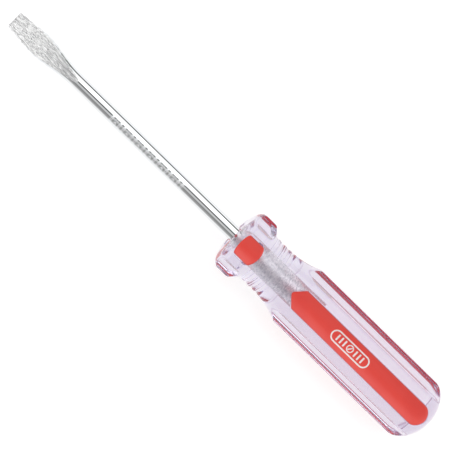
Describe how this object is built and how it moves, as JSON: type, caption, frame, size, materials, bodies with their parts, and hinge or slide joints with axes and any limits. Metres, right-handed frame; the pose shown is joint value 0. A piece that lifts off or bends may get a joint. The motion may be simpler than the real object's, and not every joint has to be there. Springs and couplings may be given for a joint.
{
  "type": "slotted screwdriver",
  "caption": "Flat-blade screwdriver with a hammered, flared tip, a round chrome shank and a clear fluted handle with red lacquer in alternate flutes.",
  "frame": {"origin": "centre of the blade tip's flat end face, on the tool's axis", "axes": "+X runs along the tool from the tip to the butt, +Z is the outward direction of the printed front flute and of the blade's broad face, +Y completes the right-handed frame"},
  "size_m": [0.2872, 0.0358, 0.033],
  "materials": {
    "chrome_steel": "polished chrome shank, hammer-textured forged tip faces",
    "clear_acetate": "clear cellulose acetate with a slight lavender tint, solvent-polished",
    "red_lacquer": "satin red lacquer",
    "white_ink": "flat white print"
  },
  "bodies": {
    "root": {"blade": "chrome_steel", "handle": "clear_acetate", "stripe_front": "red_lacquer", "stripe_left": "red_lacquer", "stripe_right": "red_lacquer", "collar_patch_front": "red_lacquer", "collar_patch_left": "red_lacquer", "collar_patch_right": "red_lacquer", "print_mark": "white_ink"}
  },
  "joints": []
}
